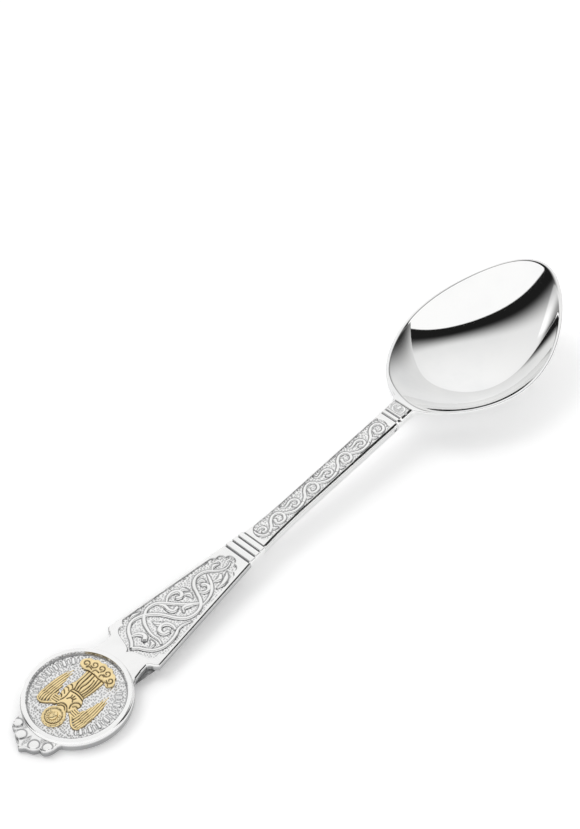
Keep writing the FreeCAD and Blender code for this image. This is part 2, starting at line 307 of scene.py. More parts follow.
# A filed edge: a narrow slant of about 41 degrees between two small roundings.
FILED = ((0.10, 0.02), (0.20, 0.09), (0.45, 0.305), (0.70, 0.52), (0.86, 0.70), (0.96, 0.88), (1.0, 1.10))
ROUND = tuple((math.sin(k * math.pi / 8), 1 - math.cos(k * math.pi / 8)) for k in range(1, 5))


def edge_rings(edge, under, upper, lower, wall=3, profile=ROUND):
    """Rings for an eased upper edge, an upright wall and a rounded lower edge."""
    rings = []
    for out, drop in profile:
        rings.append((edge * out, lambda x, y, d=edge * drop: upper(x, y) - d))
    last = edge * profile[-1][1]
    for k in range(1, wall + 1):
        f = k / wall
        rings.append((edge, lambda x, y, f=f: (upper(x, y) - last) * (1 - f) + (lower(x, y) + under) * f))
    for k in range(1, 7):
        a = k * math.pi / 12
        rings.append((edge - under * (1 - math.cos(a)), lambda x, y, d=under * (1 - math.sin(a)): lower(x, y) + d))
    rings.append((edge - under - 0.12, lower))
    return rings


def in_metres(obj):
    co = read_points(obj)
    co[:, 0] -= HALF_LENGTH
    write_points(obj, co * MM)


def store(obj, name, values, sides=0.0, reach=0.45):
    """Keeps one number per vertex for the material; points beyond the values lie on the sides and get painted shade."""
    layer = obj.data.attributes.new(name, "FLOAT", "POINT")
    full = np.zeros(len(obj.data.vertices))
    full[:len(values)] = values
    beyond = read_points(obj)[len(values):]
    # Painted shade on the sides, darker lower down from the top edge.
    full[len(values):] = sides * smooth((top_z(beyond[:, 0]) - 0.05 - beyond[:, 2]) / reach)
    layer.data.foreach_set("value", full)


def shade_hollows(obj, sunk_shade=None, soft=0.25, hard=0.6, most=0.85):
    """Keeps painted shade by how steep each point is, joined with any painted shade given for hollows."""
    normals = np.zeros(len(obj.data.vertices) * 3)
    obj.data.vertices.foreach_get("normal", normals)
    steep = 1.0 - np.abs(normals.reshape(-1, 3)[:, 2])
    tone = smooth((steep - soft) / (hard - soft)) * most
    if sunk_shade is not None:
        tone = tone[:len(sunk_shade)]
        tone = np.maximum(tone, sunk_shade)
    store(obj, "sunk_shade", tone)


def volume(obj):
    """Signed volume of a closed mesh, positive when its faces point outwards."""
    obj.data.calc_loop_triangles()
    corners = np.zeros(len(obj.data.loop_triangles) * 3, int)
    obj.data.loop_triangles.foreach_get("vertices", corners)
    a, b, c = (read_points(obj)[corners[k::3]] for k in range(3))
    return float((a * np.cross(b, c)).sum()) / 6.0


def place(obj, material, slot, *nodes, angle=35.0):
    """Shades the piece, gives it its metal, hangs it on the root and hides the parts of model.glb that it stands for.
    """
    deselect()
    obj.select_set(True)
    bpy.context.view_layer.objects.active = obj
    bpy.ops.object.mode_set(mode="EDIT")
    bpy.ops.mesh.select_mode(type="FACE")
    bpy.ops.mesh.select_all(action="SELECT")
    bpy.ops.mesh.normals_make_consistent(inside=False)
    bpy.ops.object.mode_set(mode="OBJECT")
    if volume(obj) < 0:
        bpy.ops.object.mode_set(mode="EDIT")
        bpy.ops.mesh.select_all(action="SELECT")
        bpy.ops.mesh.flip_normals()
        bpy.ops.object.mode_set(mode="OBJECT")
    bpy.ops.object.shade_smooth_by_angle(angle=math.radians(angle))
    obj.data.materials.clear()
    obj.data.materials.append(material)
    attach(obj, "root")
    if nodes:
        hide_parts(*nodes)


def stations(start, end, pitch, *exact):
    """Evenly spread places between start and end that include the exact ones."""
    marks = [start] + [e for e in exact] + [end]
    made = [start]
    for a, b in zip(marks, marks[1:]):
        n = max(1, int(round((b - a) / pitch)))
        made += [a + (b - a) * k / n for k in range(1, n + 1)]
    return np.array(made)


def strip(name, xs, columns, low, high, top, rings, crowd=1.0, sides=0.0):
    """A plate whose edges are low(x) and high(x): top face on a grid, then sides and underside."""
    obj, a, b = add_grid(name, len(xs) - 1, columns)
    i = np.round((a + 1) / 2 * (len(xs) - 1)).astype(int)
    x = xs[i]
    v = np.sign(b) * (1 - (1 - np.abs(b)) ** crowd)
    y = (low(x) + high(x)) / 2 + v * (high(x) - low(x)) / 2
    z, sunk_shade = top(x, y)
    write_points(obj, np.c_[x, y, z])
    flat = len(sunk_shade)
    shade_hollows(obj, sunk_shade)
    layer = np.zeros(flat)
    obj.data.attributes["sunk_shade"].data.foreach_get("value", layer)
    obj.data.attributes.remove(obj.data.attributes["sunk_shade"])
    wrap_down(obj, rings)
    store(obj, "sunk_shade", layer, sides)
    in_metres(obj)
    return obj


plain = polished_silver("buffed_silver")
chased = chased_silver("chased_silver")

def swelling(points, width, start=0.35, end=0.5, bulb=0.0):
    """A line whose width rises from its start and falls to its end, or ends in a bulb."""
    n = len(points)
    made = []
    for k, (x, y) in enumerate(points):
        f = k / (n - 1)
        w = width * min(1.0, start + (1 - start) * f * 3.5, end + (1 - end) * (1 - f) * 3.5)
        made.append((x, y, w))
    if bulb:
        (ax, ay), (bx, by) = points[-2], points[-1]
        d = math.hypot(bx - ax, by - ay)
        ux, uy = (bx - ax) / d, (by - ay) / d
        made[-1] = (bx, by, bulb)
        made.append((bx + ux * bulb * 0.42, by + uy * bulb * 0.42, bulb * 0.75))
        made.append((bx + ux * bulb * 0.6, by + uy * bulb * 0.6, bulb * 0.12))
    return made


def line_distance(x, y, line):
    """Distance to a smooth line and the line's own width where it is nearest."""
    best, width = np.full(np.shape(x), 9.0), np.zeros(np.shape(x))
    line = through(line, 4)
    for a, b in zip(line, line[1:]):
        dx, dy = b[0] - a[0], b[1] - a[1]
        t = np.clip(((x - a[0]) * dx + (y - a[1]) * dy) / max(dx * dx + dy * dy, 1e-12), 0.0, 1.0)
        d = np.hypot(x - a[0] - t * dx, y - a[1] - t * dy)
        width = np.where(d < best, a[2] if len(a) > 2 else 0.0, width)
        best = np.minimum(best, d)
    return best, width


def moat(x, y, lines, reach=0.15):
    """1 close beside raised lines; the ground there gets painted shade, and on the stem and panel lies a little lower.
    """
    near = np.zeros(np.shape(x))
    for line in lines:
        d, width = line_distance(x, y, line)
        near = np.maximum(near, np.exp(-(np.maximum(d - width / 2, 0.0) / reach) ** 2))
    return near


stem_lines = [[(58.9, 1.5, 0.2), (58.75, 0.7, 0.4), (59.0, -0.2, 0.44), (59.6, -0.85, 0.44), (60.4, -1.05, 0.44)],
              swelling([(59.2, 0.9), (60.1, 1.05), (60.7, 0.5), (60.4, -0.15), (59.8, 0.0)], 0.4, bulb=0.42)]
for bay in range(4):
    x = 63.8 + 9.0 * bay
    stem_lines.append([(x - 3.4, -1.05, 0.44)] + swelling(
        [(x - 2.2, -0.35), (x - 1.25, 0.7), (x - 0.1, 1.15), (x + 0.95, 0.75), (x + 1.2, -0.2), (x + 0.65, -1.0),
         (x - 0.3, -1.08), (x - 0.9, -0.45), (x - 0.65, 0.2)], 0.46, 1.0, 0.8, bulb=0.55))
    stem_lines.append(swelling([(x - 2.3, -0.4), (x - 2.1, -1.0), (x - 1.5, -1.4)], 0.5, 0.5, 0.3))
    if bay < 3:
        stem_lines.append([(x + 1.15, 0.2, 0.3), (x + 2.0, -0.45, 0.44), (x + 3.1, -1.15, 0.46),
                           (x + 4.5, -1.3, 0.46), (x + 5.6, -1.05, 0.44)])
        stem_lines.append(swelling([(x + 2.1, 1.5), (x + 2.4, 0.85), (x + 3.2, 0.8), (x + 4.2, 1.05), (x + 5.1, 0.6),
                                    (x + 5.2, -0.25), (x + 4.5, -0.65), (x + 3.8, -0.3)], 0.42, 0.4, 0.8, bulb=0.5))
stem_lines = [[(x, y, w * 1.5) for x, y, w in line] for line in stem_lines]

STEM_X = (57.6, 93.6)
STEM_EDGE = 0.65
stem_field = both_sides([(58.2, 0.0)] + through([(58.2, 0.0), (58.45, 1.15), (59.5, 1.98), (61.5, 1.93),
                                                (67.0, 1.8), (80.0, 1.78), (91.3, 1.78), (92.5, 1.1), (92.9, 0.0)], 6)[1:])


def stem_half(x):
    return np.interp(x, (57.6, 59.0, 61.0, 64.0, 67.0, 93.6), (2.85, 2.75, 2.63, 2.52, 2.45, 2.45))


def stem_top(x, y):
    inside = inside_distance(x, y, stem_field)
    low = smooth((inside + 0.04) / 0.2)
    lip = 0.02 * np.exp(-((inside + 0.14) / 0.08) ** 2)
    pits, beside = stipple(x, y), moat(x, y, stem_lines, 0.12)
    # Painted shade in the matted field, darkest in the punch marks and beside the scroll.
    return (top_z(x) + low * (0.1 * pits - 0.35 - 0.05 * beside) + lip,
            np.maximum(low * (0.5 - 0.45 * pits), 0.85 * low * beside))


# Its sides get a little painted shade, darker lower down.
stem = strip("stem_bar", stations(STEM_X[0] + 0.05, STEM_X[1] - 0.05, 0.08), 60,
             lambda x: -(stem_half(x) - STEM_EDGE), lambda x: stem_half(x) - STEM_EDGE, stem_top,
             edge_rings(STEM_EDGE, 0.85, lambda x, y: top_z(x), lambda x, y: top_z(x) - 2.3, profile=FILED), sides=0.2)
place(stem, chased, "polished_silver", "stem")

# ------------------------------------------------------------------ scroll along the stem
# A running wave with a curl in every bay, cast in relief with the stem, bright on its crests, painted shade on its
# steep sides.


def raised(name, lines, ground, rise, bury=0.06, shade_from=0.3):
    """Half-round relief along smooth lines; a line's points are (x, y, width)."""
    deselect()
    bpy.ops.curve.primitive_bezier_curve_add(enter_editmode=False)
    obj = bpy.context.object
    obj.name = obj.data.name = name
    curve = obj.data
    curve.splines.clear()
    curve.dimensions = "3D"
    curve.twist_mode = "Z_UP"
    curve.bevel_depth = 0.5
    curve.bevel_resolution = 3
    curve.resolution_u = 7
    curve.use_fill_caps = True
    for line in lines:
        spline = curve.splines.new("BEZIER")
        spline.bezier_points.add(len(line) - 1)
        for point, (x, y, w) in zip(spline.bezier_points, line):
            point.co = (x, y, 0.0)
            point.radius = w
            point.handle_left_type = point.handle_right_type = "AUTO"
    bpy.ops.object.convert(target="MESH")
    obj = bpy.context.object
    co = read_points(obj)
    co[:, 2] = ground(co[:, 0], co[:, 1]) - bury + (rise + bury) * 2.0 * co[:, 2]
    write_points(obj, co)
    # Painted shade on the relief's steep sides, so the crests stay bright.
    shade_hollows(obj, soft=shade_from, hard=shade_from + 0.45, most=0.95)
    bpy.ops.object.mode_set(mode="EDIT")
    bpy.ops.mesh.select_mode(type="VERT")
    bpy.ops.mesh.select_all(action="SELECT")
    bpy.ops.mesh.remove_doubles(threshold=0.00001)
    bpy.ops.object.mode_set(mode="OBJECT")
    in_metres(obj)
    return obj


def stem_ground(x, y):
    return top_z(x) - 0.33


scroll = raised("stem_running_scroll", stem_lines, stem_ground, 0.34)
place(scroll, chased, "relief_silver", "stem_scroll", angle=60.0)

# ------------------------------------------------------------------ neck
# The short plain length between stem and bowl, crossed by two cut grooves, with a small bud
# raised where the bowl begins.

NECK_X = (93.6, 98.0)


def neck_top(x, y):
    groove = sum(0.22 * np.exp(-((x - g) / 0.13) ** 2) for g in (94.15, 95.2))
    band = sum(0.05 * np.exp(-((x - g) / 0.28) ** 2) for g in (94.68,))
    bed = 0.16 * smooth((x - 95.6) / 0.2) * smooth((2.05 - np.abs(y)) / 0.25) * smooth((98.05 - x) / 0.2)
    # Painted shade in the two cut grooves and in the matted bed under the bud.
    return top_z(x) - groove + band - bed, np.minimum(groove / 0.2 + bed * (4.5 - 3.0 * stipple(x, y, 0.3)), 1.0)


def neck_side(x, y):
    return top_z(x) - sum(0.16 * np.exp(-((x - g) / 0.13) ** 2) for g in (94.15, 95.2))


def neck_half(x):
    return 2.45 - sum(0.09 * np.exp(-((x - g) / 0.14) ** 2) for g in (94.15, 95.2))


neck = strip("neck_grooved", stations(NECK_X[0] + 0.02, NECK_X[1] - 0.02, 0.06), 44,
             lambda x: -(neck_half(x) - STEM_EDGE), lambda x: neck_half(x) - STEM_EDGE, neck_top,
             edge_rings(STEM_EDGE, 0.85, neck_side, lambda x, y: top_z(x) - 2.3, profile=FILED))
place(neck, chased, "polished_silver", "neck_collar")


def neck_ground(x, y):
    return top_z(x) - 0.14


bud_lines = [[(96.25, 0.0, 0.2), (96.6, 0.0, 0.85), (97.0, 0.0, 0.95), (97.4, 0.0, 0.65), (97.7, 0.0, 0.12)]]
for s in (1, -1):
    bud_lines.append(swelling([(95.85, 0.0), (96.1, 0.85 * s), (96.85, 1.2 * s), (97.6, 0.85 * s), (97.85, 0.15 * s)],
                              0.42, 0.5, 0.5))
    bud_lines.append(swelling([(95.9, 1.2 * s), (96.3, 1.75 * s), (97.0, 1.85 * s), (97.7, 1.5 * s)], 0.44, 0.4, 0.3))
bud = raised("neck_bud_relief", bud_lines, neck_ground, 0.26)
place(bud, chased, "relief_silver", "neck_bud", angle=60.0)

# ------------------------------------------------------------------ bowl
# One struck and planished shell, mirror polished inside and out, with a flat rim that rises to
# the tip. A keeled shoulder under it runs into the neck.

BOWL_X = (98.1, 140.0)
BOWL_W = 29.5


def oval_rim(x):
    t = (x - BOWL_X[0]) / (BOWL_X[1] - BOWL_X[0])
    z = 8.95 - 4.93 * t + 7.13 * t ** 2 + 5.05 * t ** 3
    return np.where(x < 100.5, soft_least(z, 8.6 + (x - 98.0) * 0.2, 0.25), z)


def soft_least(a, b, k):
    h = np.clip(0.5 + 0.5 * (b - a) / k, 0.0, 1.0)
    return b * (1 - h) + a * h - k * h * (1 - h)


def dish(x, y, inset, depth):
    half = (BOWL_X[1] - BOWL_X[0]) / 2
    t = (x - BOWL_X[0]) / (BOWL_X[1] - BOWL_X[0])
    u, v = (x - BOWL_X[0] - half) / (half - inset), y / (BOWL_W / 2 - inset)
    s = 1 - u * u - v * v * (1 + 0.4 * u * u)
    rim = 8.95 - 4.93 * t + 7.13 * t ** 2 + 5.05 * t ** 3
    return rim - depth * (1 + 0.5 * (1 - u * u)) / 1.5 * s * (1 + 0.35 * (1 - s))


def bowl_half(x):
    """Half the bowl's width in plan, eased into the neck."""
    half = (BOWL_X[1] - BOWL_X[0]) / 2
    u = np.clip((x - BOWL_X[0] - half) / half, -1.0, 1.0)
    oval = BOWL_W / 2 * np.sqrt(np.maximum(0.0, (1 - u * u) / (1 + 0.4 * u * u)))
    flare = 2.45 + 0.9 * np.clip((x - 98.0) / 1.6, 0.0, 1.0) ** 2
    return np.where(x < 101.5, -soft_least(-oval, -flare, 0.7), oval)


EDGE = 0.2
ends = np.linspace(0, 1, 120)
along = NECK_X[1] + (BOWL_X[1] - NECK_X[1]) * (1 - np.cos(ends * math.pi)) / 2
half_line = [(x, h) for x, h in zip(along, bowl_half(along))]
half_line[0] = (98.0, 2.45)
half_line = [(98.0, 0.0), (98.0, 0.8), (98.0, 1.6)] + half_line[:-1] + [(140.0, 0.0)]
bowl_outline = both_sides(half_line)


def by_length(outline):
    """Point at a fraction of the way round a closed outline."""
    p = np.array(outline + [outline[0]], float)
    run = np.r_[0, np.cumsum(np.linalg.norm(np.diff(p, axis=0), axis=1))]
    return lambda f: np.c_[np.interp(f % 1.0 * run[-1], run, p[:, 0]), np.interp(f % 1.0 * run[-1], run, p[:, 1])]


def disc_grid(name, size, centre, edge, turn=0.0, spread=lambda r: r):
    """A square grid drawn out to a closed outline, so that it has no pole."""
    obj, a, b = add_grid(name, size, size)
    r = np.maximum(np.abs(a), np.abs(b))
    centre_point = r < 1e-6
    wide = np.abs(a) >= np.abs(b)
    over_a, over_b = np.where(wide & ~centre_point, a, 1.0), np.where(wide, 1.0, b)
    angle = np.where(wide, math.pi / 4 * b / over_a + np.where(a < 0, math.pi, 0),
                     math.pi / 2 - math.pi / 4 * a / over_b + np.where(b < 0, math.pi, 0))
    r = np.where(centre_point, 0.0, r)
    p = edge(angle / (2 * math.pi) + turn)
    c = np.array(centre)
    flat = c + (p - c) * spread(r)[:, None]
    return obj, flat[:, 0], flat[:, 1]


def shrink(outline, by):
    p = np.array(outline, float)
    q = p - outward(np.c_[p, np.zeros(len(p))]) * by
    return [tuple(v) for v in q]


def bowl_top(x, y):
    neckish = np.exp(-((x - 98.0) / 3.2) ** 2)
    return soft_least(oval_rim(x), dish(x, y, 0.46, 7.761), 0.10 + 2.4 * neckish)


def keel(x, y):
    base = np.interp(x, (98.0, 99.5, 101.5, 103.5, 105.8), (6.3, 5.95, 5.15, 4.2, 3.25))
    half = np.interp(x, (98.0, 99.5, 101.5, 103.5, 105.8), (2.45, 2.8, 3.3, 2.9, 1.9))
    r = np.interp(x, (98.0, 99.5, 101.5, 103.5, 105.8), (0.85, 1.3, 2.2, 2.6, 1.9))
    out = np.clip((np.abs(y) - half + r) / r, 0.0, 1.0)
    low = base + r * (1 - np.sqrt(np.maximum(0.0, 1 - out * out)))
    return low + np.maximum(0.0, np.abs(y) - half) * 6.0 + np.maximum(0.0, x - 105.0) * 2.0


def bowl_under(x, y):
    k = 0.05 + 0.9 * smooth((x - 98.0) / 3.0)
    return soft_least(dish(x, y, -0.12, 8.715), keel(x, y), k)


inner_line = by_length(shrink(bowl_outline, EDGE))
bowl, bx, by = disc_grid("bowl_shell", 150, (119.0, 0.0), inner_line, turn=0.0)
write_points(bowl, np.c_[bx, by, bowl_top(bx, by)])
loop = rim_loop(bowl)
lip = read_points(bowl)[loop]
rings = []
for k in range(1, 5):
    a = k * math.pi / 8
    rings.append((EDGE * math.sin(a), lambda x, y, d=EDGE * (1 - math.cos(a)): bowl_top_edge() - d))


def bowl_top_edge():
    return lip[:, 2]


def bowl_low_edge():
    return np.minimum(bowl_under(lip[:, 0], lip[:, 1]), lip[:, 2] - EDGE - 0.12)


for f in (0.5, 1.0):
    rings.append((EDGE, lambda x, y, f=f: (bowl_top_edge() - EDGE) * (1 - f) + (bowl_low_edge() + 0.05) * f))
rings.append((EDGE * 0.85, lambda x, y: bowl_low_edge()))
rings.append((0.0, lambda x, y: np.minimum(bowl_under(x, y), bowl_low_edge() - 0.04)))
last = wrap_down(bowl, rings, close=False)
foot = read_points(bowl)[last]
under, ux, uy = disc_grid("bowl_underside", 150, (119.0, 0.0), inner_line, turn=0.0)
write_points(under, np.c_[ux, uy, bowl_under(ux, uy)])
rim_under = rim_loop(under)
co = read_points(under)
for i in rim_under:
    nearest = np.argmin(np.hypot(foot[:, 0] - co[i, 0], foot[:, 1] - co[i, 1]))
    co[i] = foot[nearest]
write_points(under, co)
deselect()
bowl.select_set(True)
under.select_set(True)
bpy.context.view_layer.objects.active = bowl
bpy.ops.object.join()
bpy.ops.object.mode_set(mode="EDIT")
bpy.ops.mesh.select_all(action="SELECT")
bpy.ops.mesh.remove_doubles(threshold=0.0005)
bpy.ops.object.mode_set(mode="OBJECT")
in_metres(bowl)
place(bowl, polished_silver("bowl_silver", rough=0.03), "polished_silver", "bowl", angle=50.0)

# ------------------------------------------------------------------ middle collar
# Three rounded ridges between sharp grooves, turned out a little past the sides.

RIDGES = ((53.9, 0.7), (55.36, 0.6), (56.72, 0.6))


def ridge(x):
    return np.max([np.maximum(0.0, 1 - np.abs((x - c) / w) ** 4) ** 0.5 for c, w in RIDGES], axis=0)


def collar_half(x):
    return np.interp(x, (52.9, 57.6), (3.22, 2.8)) - 0.1 + 0.16 * ridge(x)


# Painted shade fills the grooves between the ridges.
collar = strip("middle_collar", stations(52.9, 57.6, 0.05), 40,
               lambda x: -(collar_half(x) - 0.3), lambda x: collar_half(x) - 0.3,
               lambda x, y: (top_z(x) - 0.15 + 0.3 * ridge(x), np.clip(2.2 * (0.75 - ridge(x)), 0, 1)),
               edge_rings(0.3, 0.5, lambda x, y: top_z(x) - 0.15 + 0.3 * ridge(x), lambda x, y: top_z(x) - 1.75),
               crowd=1.2)
place(collar, chased, "polished_silver", "mid_collar")

# ------------------------------------------------------------------ panel
# The wide tapering plate of the handle. A bracket-shaped field is sunk in it and matted like
# the stem's; a narrow polished border is left all round.

PANEL_EDGE = 0.38
panel_sides = ([(21.0, 5.6), (21.8, 5.6), (22.6, 5.2), (24.2, 4.85), (25.8, 4.7), (26.2, 4.95), (26.5, 5.35),
                (26.75, 5.9), (27.2, 6.45)], [(52.9, 3.35)])
panel_line = panel_sides[0] + panel_sides[1]
panel_field = both_sides(
    through([(25.4, 0.0), (25.9, 0.35), (26.35, 1.2), (26.75, 2.6), (27.15, 3.8), (27.8, 4.5), (28.5, 4.55),
             (28.95, 4.35)], 5)
    + through([(28.95, 4.4), (29.15, 4.95), (29.6, 5.35), (30.1, 5.4)], 4)
    + through([(48.7, 3.05), (49.4, 2.85), (49.85, 2.3)], 4)
    + through([(49.9, 2.25), (50.6, 2.25), (51.1, 1.75), (51.15, 1.2)], 4)
    + through([(51.2, 1.15), (51.8, 0.9), (52.1, 0.35), (52.1, 0.0)], 4))


vine_lines = [
    swelling([(26.6, 0.0), (27.5, 0.9), (28.2, 2.1), (29.2, 3.4), (30.6, 4.05), (32.1, 3.8), (33.5, 2.9), (34.7, 1.6),
              (35.5, 0.2), (36.2, -1.3), (37.3, -2.7), (38.8, -3.3), (40.4, -3.1), (41.6, -2.1), (42.4, -0.5),
              (43.1, 1.0), (44.2, 2.0), (45.6, 2.2), (46.9, 1.7), (48.0, 0.6), (49.1, -0.3), (50.3, -0.45),
              (51.2, -0.1)], 0.62, 0.9, 0.4),
    swelling([(26.6, 0.0), (27.4, -0.8), (28.0, -2.0), (29.0, -3.3), (30.4, -4.0), (32.0, -4.15), (33.5, -3.9),
              (34.8, -3.35), (36.2, -3.4), (37.4, -3.9)], 0.62, 0.9, 0.4),
    swelling([(30.6, -3.4), (31.0, -2.2), (30.9, -0.8), (31.2, 0.7), (31.9, 2.2), (33.1, 3.4), (34.7, 3.95),
              (36.2, 3.5), (37.2, 2.4), (38.1, 1.1), (39.1, -0.2), (40.2, -1.4), (41.1, -2.2)], 0.6, 0.5, 0.8),
    swelling([(40.8, -2.9), (42.6, -2.85), (44.2, -2.2), (45.4, -1.1), (46.1, 0.1), (46.6, 1.1)], 0.55, 0.6, 0.5),
    swelling([(42.7, -0.4), (43.6, -1.4), (44.5, -1.3), (44.8, -0.4), (44.3, 0.2)], 0.5, 0.5, 0.6, bulb=0.5),
    swelling([(34.4, -3.1), (34.6, -1.9), (34.1, -0.9), (33.1, -0.6), (32.3, -1.3), (32.5, -2.2), (33.2, -2.4)],
             0.55, 0.6, 0.7, bulb=0.62),
    swelling([(33.0, 1.1), (33.2, 0.1), (34.0, -0.3)], 0.6, 0.3, 0.3),
    swelling([(28.3, 2.0), (29.5, 1.2), (29.9, 0.1), (29.3, -0.5)], 0.6, 0.4, 0.6, bulb=0.62),
    swelling([(28.6, -2.4), (29.6, -2.2), (30.0, -1.4)], 0.6, 0.3, 0.3),
    swelling([(37.4, 2.3), (38.6, 3.0), (39.9, 2.9), (40.6, 2.0), (40.0, 1.2), (39.3, 1.5)], 0.55, 0.4, 0.6,
             bulb=0.55),
    swelling([(40.4, 2.6), (41.3, 2.1), (41.9, 1.2)], 0.55, 0.3, 0.2),
    swelling([(40.6, 1.3), (41.3, 0.5), (41.2, -0.5)], 0.6, 0.3, 0.2),
    swelling([(36.3, 3.2), (36.7, 1.9), (36.6, 0.8), (37.0, 0.0), (37.9, 0.1)], 0.5, 0.5, 0.6, bulb=0.5),
    swelling([(37.9, -1.6), (38.6, -0.9), (39.5, -1.2), (40.2, -1.8)], 0.6, 0.3, 0.3),
    swelling([(44.0, 1.2), (44.9, 0.9), (45.2, 0.2)], 0.5, 0.3, 0.3),
    swelling([(45.4, -2.4), (46.8, -2.5), (48.2, -2.0), (49.2, -1.2)], 0.55, 0.3, 0.2),
    swelling([(46.0, -0.8), (47.1, -1.3), (48.0, -0.8)], 0.6, 0.3, 0.3, bulb=0.4),
    swelling([(47.6, 1.0), (48.6, 1.5), (49.6, 1.1)], 0.5, 0.3, 0.2),
    swelling([(30.4, 4.6), (31.6, 4.8), (33.0, 4.4)], 0.45, 0.2, 0.2),
]
vine_lines = [[(x, y, w * (1.25 if k < 4 else 1.75)) for x, y, w in line] for k, line in enumerate(vine_lines)]


def panel_half(x):
    return np.interp(x, [p[0] for p in panel_line], [p[1] for p in panel_line])


def panel_top(x, y):
    inside = inside_distance(x, y, panel_field)
    low = smooth((inside + 0.05) / 0.22)
    lip = 0.03 * np.exp(-((inside + 0.16) / 0.1) ** 2)
    pits, beside = stipple(x, y), moat(x, y, vine_lines, 0.15)
    clear = smooth((np.hypot(x - 13.6, y) - 9.5) / 0.3)
    # Painted shade in the matted field, darkest in the punch marks and beside the vine.
    return (top_z(x) + low * (0.1 * pits - 0.42 - 0.05 * beside) + lip - 0.7 * (1 - clear),
            np.maximum(low * (0.5 - 0.45 * pits), 0.75 * low * beside))


panel_xs = stations(21.05, 52.85, 0.085, 25.8, 26.75, 27.2 + PANEL_EDGE * 0.7)
# Its sides get painted shade, darker lower down.
panel = strip("handle_panel", panel_xs, 146, lambda x: -(panel_half(x) - PANEL_EDGE),
              lambda x: panel_half(x) - PANEL_EDGE, panel_top,
              edge_rings(PANEL_EDGE, 0.5, lambda x, y: top_z(x) - 0.7 * (1 - smooth((np.hypot(x - 13.6, y) - 9.5) / 0.3)),
                         lambda x, y: top_z(x) - 1.6, profile=FILED), sides=0.6)
place(panel, chased, "polished_silver", "panel")

# ------------------------------------------------------------------ vine on the panel
# Two stems that cross and recross, throwing off hooked leaves; cast in relief, crests polished, painted shade on the
# steep sides.


def panel_ground(x, y):
    return top_z(x) - 0.36


vine = raised("panel_vine_relief", vine_lines, panel_ground, 0.36)
place(vine, chased, "relief_silver", "panel_vine", angle=60.0)

# ------------------------------------------------------------------ medallion
# A thick disc with a plain polished rim round a sunk, matted ground.

MED = (13.6, 0.0)
MED_R = 9.9
MED_EDGE = 0.36


def circle(r):
    return lambda f: np.c_[MED[0] + r * np.cos(f * 2 * math.pi), MED[1] + r * np.sin(f * 2 * math.pi)]


bars = []
for side in (90.0, 270.0):
    for i in range(-7, 8):
        a = math.radians(side + i * 6.4)
        wide = 0.34 if i % 2 else 0.56
        c, s = math.cos(a), math.sin(a)
        inner, outer = (6.75, 7.8) if i % 2 else (6.55, 8.0)
        bars.append([(MED[0] + r * c, r * s, w) for r, w in
                     ((inner, 0.1), (inner + 0.12, wide), ((inner + outer) / 2, wide), (outer - 0.12, wide),
                      (outer, 0.1))])


def med_plane(x):
    return 1.55 + 1.4 / 23.5 * x


def med_top(x, y):
    r = np.hypot(x - MED[0], y)
    up = smooth((r - 8.62) / 0.22)
    crown = 0.05 * np.sqrt(np.maximum(0.0, 1 - ((r - 9.25) / 0.75) ** 2))
    groove = -0.05 * np.exp(-((r - 8.5) / 0.1) ** 2)
    pits = stipple(x, y)
    ground = 0.1 * pits * smooth((8.6 - r) / 0.2) - 0.28
    beside = moat(x, y, bars, 0.14)
    # Painted shade in the matted ground, darkest in the punch marks and beside the bars.
    return (med_plane(x) + ground * (1 - up) + groove + up * (0.3 + crown),
            (1 - up) * np.maximum(0.78 - 0.68 * pits, 0.7 * beside))


medallion, mx, my = disc_grid("medallion_disc_rimmed", 240, MED, circle(MED_R - MED_EDGE))
mz, sunk_shade = med_top(mx, my)
write_points(medallion, np.c_[mx, my, mz])
# Painted shade: a dark line at the foot of the rim's inner step.
sunk_shade = np.maximum(sunk_shade, 0.9 * np.exp(-((np.hypot(mx - MED[0], my) - 8.62) / 0.09) ** 2))
wrap_down(medallion, edge_rings(MED_EDGE, 0.3, lambda x, y: med_plane(x) + 0.3, lambda x, y: med_plane(x) - 1.75,
                                profile=FILED))
# The disc's sides get painted shade, darker lower down.
store(medallion, "sunk_shade", sunk_shade, 0.66)
in_metres(medallion)
place(medallion, chased, "polished_silver", "medallion_disc")

# ------------------------------------------------------------------ bars round the medallion
# Two arcs of plain raised bars, wide and narrow by turns, along both sides of the ground.


def med_ground(x, y):
    return med_plane(x) - 0.2


bars_piece = raised("medallion_bar_ring", bars, med_ground, 0.34)
place(bars_piece, chased, "relief_silver", "medallion_bars", angle=60.0)

# ------------------------------------------------------------------ gilded figure: halo
# The figure's parts are thin castings, gold plated and laid on the ground of the disc. Behind
# the head is a round halo with a scalloped edge.


def gilt(name):
    """Pale gold plate over silver: warm, satin, with near-black brown painted shade in the hollows and on steep sides.
    """
    made = new_material(name)
    depth = Shade.node("ShaderNodeAttribute", {"attribute_name": "sunk_shade"}, out=2)
    cloud = noise(420.0, 3.0)
    fine = noise(2400.0, 2.0)
    # The near-black brown end is painted shade in hollows and on steep sides; the cloud adds a little random tone.
    tone = (depth + cloud.step(0.35, 0.75) * 0.12).math("MINIMUM", 1.0)
    colour = tone.blend((0.97, 0.78, 0.43, 1.0), (0.07, 0.038, 0.013, 1.0))
    finish_metal(colour, cloud * 0.1 + 0.16, fine + cloud * 0.5, 0.12, 0.00004)
    return made


gold = gilt("pale_gilding")
HEAD = (8.15, 0.0)


def halo_edge(f):
    a = f * 2 * math.pi
    r = 2.0 + 0.07 * np.abs(np.cos(a * 8))
    return np.c_[HEAD[0] + r * np.cos(a), HEAD[1] + r * np.sin(a)]


